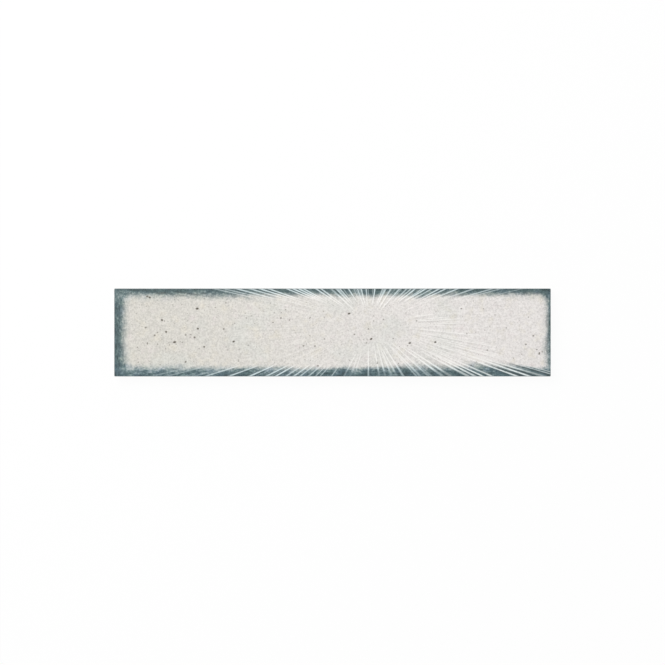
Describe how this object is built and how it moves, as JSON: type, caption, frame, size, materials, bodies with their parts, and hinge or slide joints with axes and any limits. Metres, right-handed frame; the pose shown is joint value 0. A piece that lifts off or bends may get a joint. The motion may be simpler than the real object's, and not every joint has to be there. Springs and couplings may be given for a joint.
{
  "type": "wall tile",
  "caption": "Narrow glazed ceramic wall tile with rounded arrises and a waffle-keyed back, pale speckled face with a sunburst of fine rays and a worn blue-grey border, for bonding to a wall.",
  "frame": {"origin": "middle of the back plane, where the tile rests or is bedded", "axes": "+X along the tile's length, +Y across its width, +Z out of the glazed face"},
  "size_m": [0.298, 0.06, 0.0085],
  "materials": {
    "glazed_body": "satin speckled glaze on the face, blue-grey at its edges, over a pale unglazed fired body"
  },
  "bodies": {
    "root": {"wall_tile": "glazed_body"}
  },
  "joints": []
}
